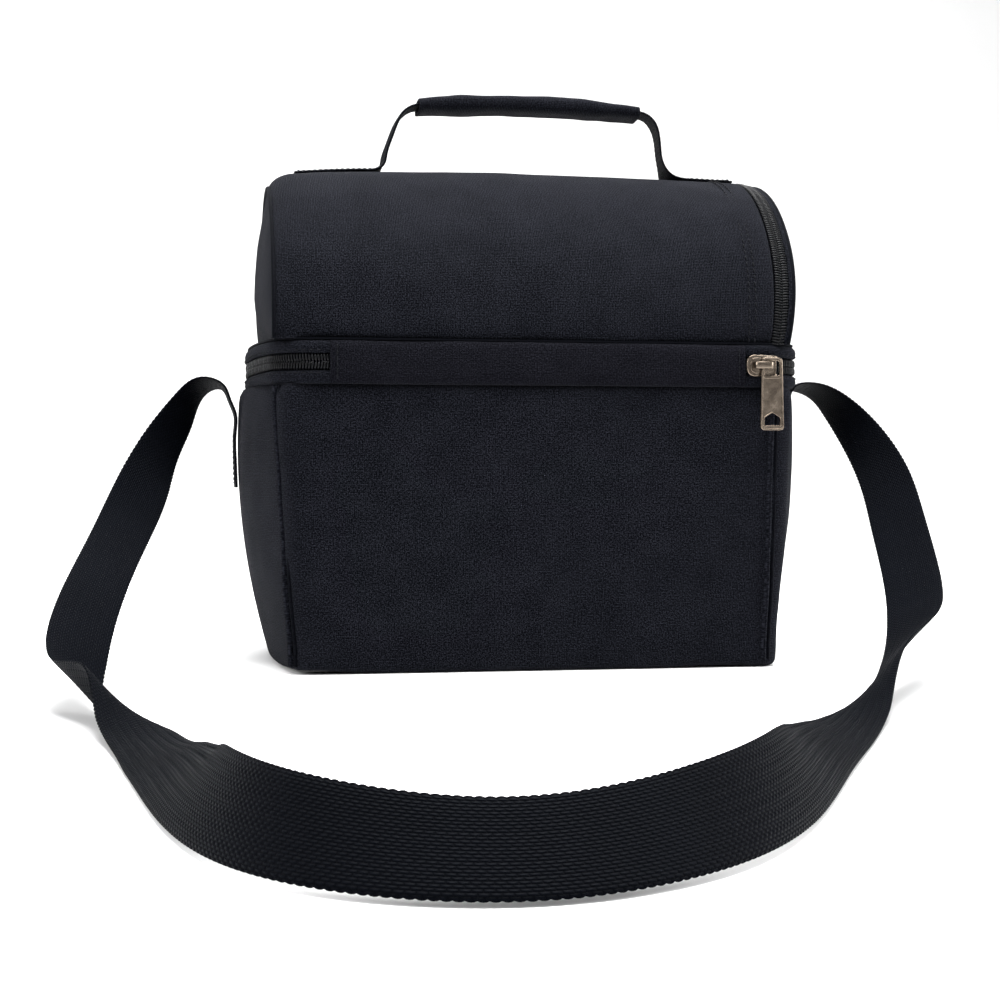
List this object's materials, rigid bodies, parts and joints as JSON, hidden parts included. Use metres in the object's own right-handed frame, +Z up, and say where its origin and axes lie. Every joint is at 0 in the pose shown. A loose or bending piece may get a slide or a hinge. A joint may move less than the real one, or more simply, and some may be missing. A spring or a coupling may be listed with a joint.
{
  "type": "insulated cooler bag",
  "caption": "Soft insulated lunch cooler with a domed zipped top compartment, a padded carrying handle and a sewn-on webbing shoulder strap.",
  "frame": {"origin": "middle of the base, on the surface that the bag stands on", "axes": "+Z up; +X to the right seen from the hinge side; -Y points out of the hinge side, towards the shoulder strap lying in front of it"},
  "size_m": [0.3988, 0.6117, 0.2795],
  "materials": {
    "shell_fabric": "plain-woven black polyester, matt",
    "webbing": "ribbed black polypropylene webbing",
    "zip_tape": "woven black zip tape",
    "zip_coil": "black nylon coil, satin",
    "binding": "black bound edge",
    "gunmetal": "antique nickel plating, worn at the edges",
    "insulation_foam": "closed-cell polyethylene foam",
    "lining_film": "heat-sealed grey film",
    "base_board": "polyethylene stiffener"
  },
  "bodies": {
    "base": {"hinge_side_panel": "shell_fabric", "far_side_panel": "shell_fabric", "left_gusset": "shell_fabric", "right_gusset": "shell_fabric", "corner_seam_folds": "shell_fabric", "bottom_panel": "shell_fabric", "base_board": "base_board", "wall_foam": "insulation_foam", "base_foam": "insulation_foam", "body_lining": "lining_film", "lower_band": "shell_fabric", "lower_zip_tape": "zip_tape", "lower_zip_coil": "zip_coil", "hinge_strip_lower": "shell_fabric", "left_strap_anchor": "webbing", "right_strap_anchor": "webbing"},
    "lid": {"upper_band": "shell_fabric", "upper_zip_tape": "zip_tape", "upper_zip_coil": "zip_coil", "hinge_strip_upper": "shell_fabric", "divider_under_lining": "lining_film", "divider_foam": "insulation_foam", "divider_top_lining": "lining_film", "divider_hem": "binding", "dome_panel": "shell_fabric", "dome_foam": "insulation_foam", "dome_lining": "lining_film", "left_end_panel": "shell_fabric", "left_end_foam": "insulation_foam", "left_end_piping": "binding", "dome_zip_tape": "zip_tape", "dome_zip_coil": "zip_coil", "left_handle_tab": "webbing", "right_handle_tab": "webbing"},
    "end_flap": {"end_flap_gusset": "shell_fabric", "end_flap_zip_tape": "zip_tape", "end_flap_zip_coil": "zip_coil", "end_flap_panel": "shell_fabric", "end_flap_piping": "binding", "end_flap_foam": "insulation_foam", "end_flap_lining": "lining_film"},
    "handle": {"handle_left_leg": "webbing", "handle_right_leg": "webbing", "handle_grip": "shell_fabric"},
    "strap": {"shoulder_strap": "webbing"},
    "main_slider": {"main_slider": "gunmetal"},
    "main_puller": {"main_puller": "gunmetal"},
    "dome_slider": {"dome_slider": "gunmetal"},
    "dome_puller": {"dome_puller": "gunmetal"}
  },
  "joints": [
    {"name": "lid_hinge", "type": "hinge", "parent": "base", "child": "lid", "pos_m": [0, -0.095, 0.141], "axis": [1, 0, 0], "range_deg": [0, 110]},
    {"name": "end_flap_hinge", "type": "hinge", "parent": "lid", "child": "end_flap", "pos_m": [0.131, 0, 0.1525], "axis": [0, 1, 0], "range_deg": [0, 95]},
    {"name": "handle_swing", "type": "hinge", "parent": "lid", "child": "handle", "pos_m": [0, 0, 0.2424], "axis": [1, 0, 0], "range_deg": [-70, 70]},
    {"name": "strap_swing", "type": "hinge", "parent": "base", "child": "strap", "pos_m": [0, 0, 0.126], "axis": [-1, 0, 0], "range_deg": [0, 100]},
    {"name": "main_slider_turn", "type": "hinge", "parent": "base", "child": "main_slider", "pos_m": [0.103, -0.063, 0.141], "axis": [0, 0, 1], "range_deg": [0, 75]},
    {"name": "main_puller_swing", "type": "hinge", "parent": "main_slider", "child": "main_puller", "pos_m": [0.1073, -0.0897, 0.141], "axis": [0, 1, 0], "range_deg": [-60, 20]},
    {"name": "dome_slider_travel", "type": "hinge", "parent": "lid", "child": "dome_slider", "pos_m": [0.1157, 0, 0.155], "axis": [1, 0, 0], "range_deg": [0, 150]},
    {"name": "dome_puller_swing", "type": "hinge", "parent": "dome_slider", "child": "dome_puller", "pos_m": [0.1157, 0.08851, 0.1608], "axis": [1, 0, 0], "range_deg": [0, 165]}
  ]
}
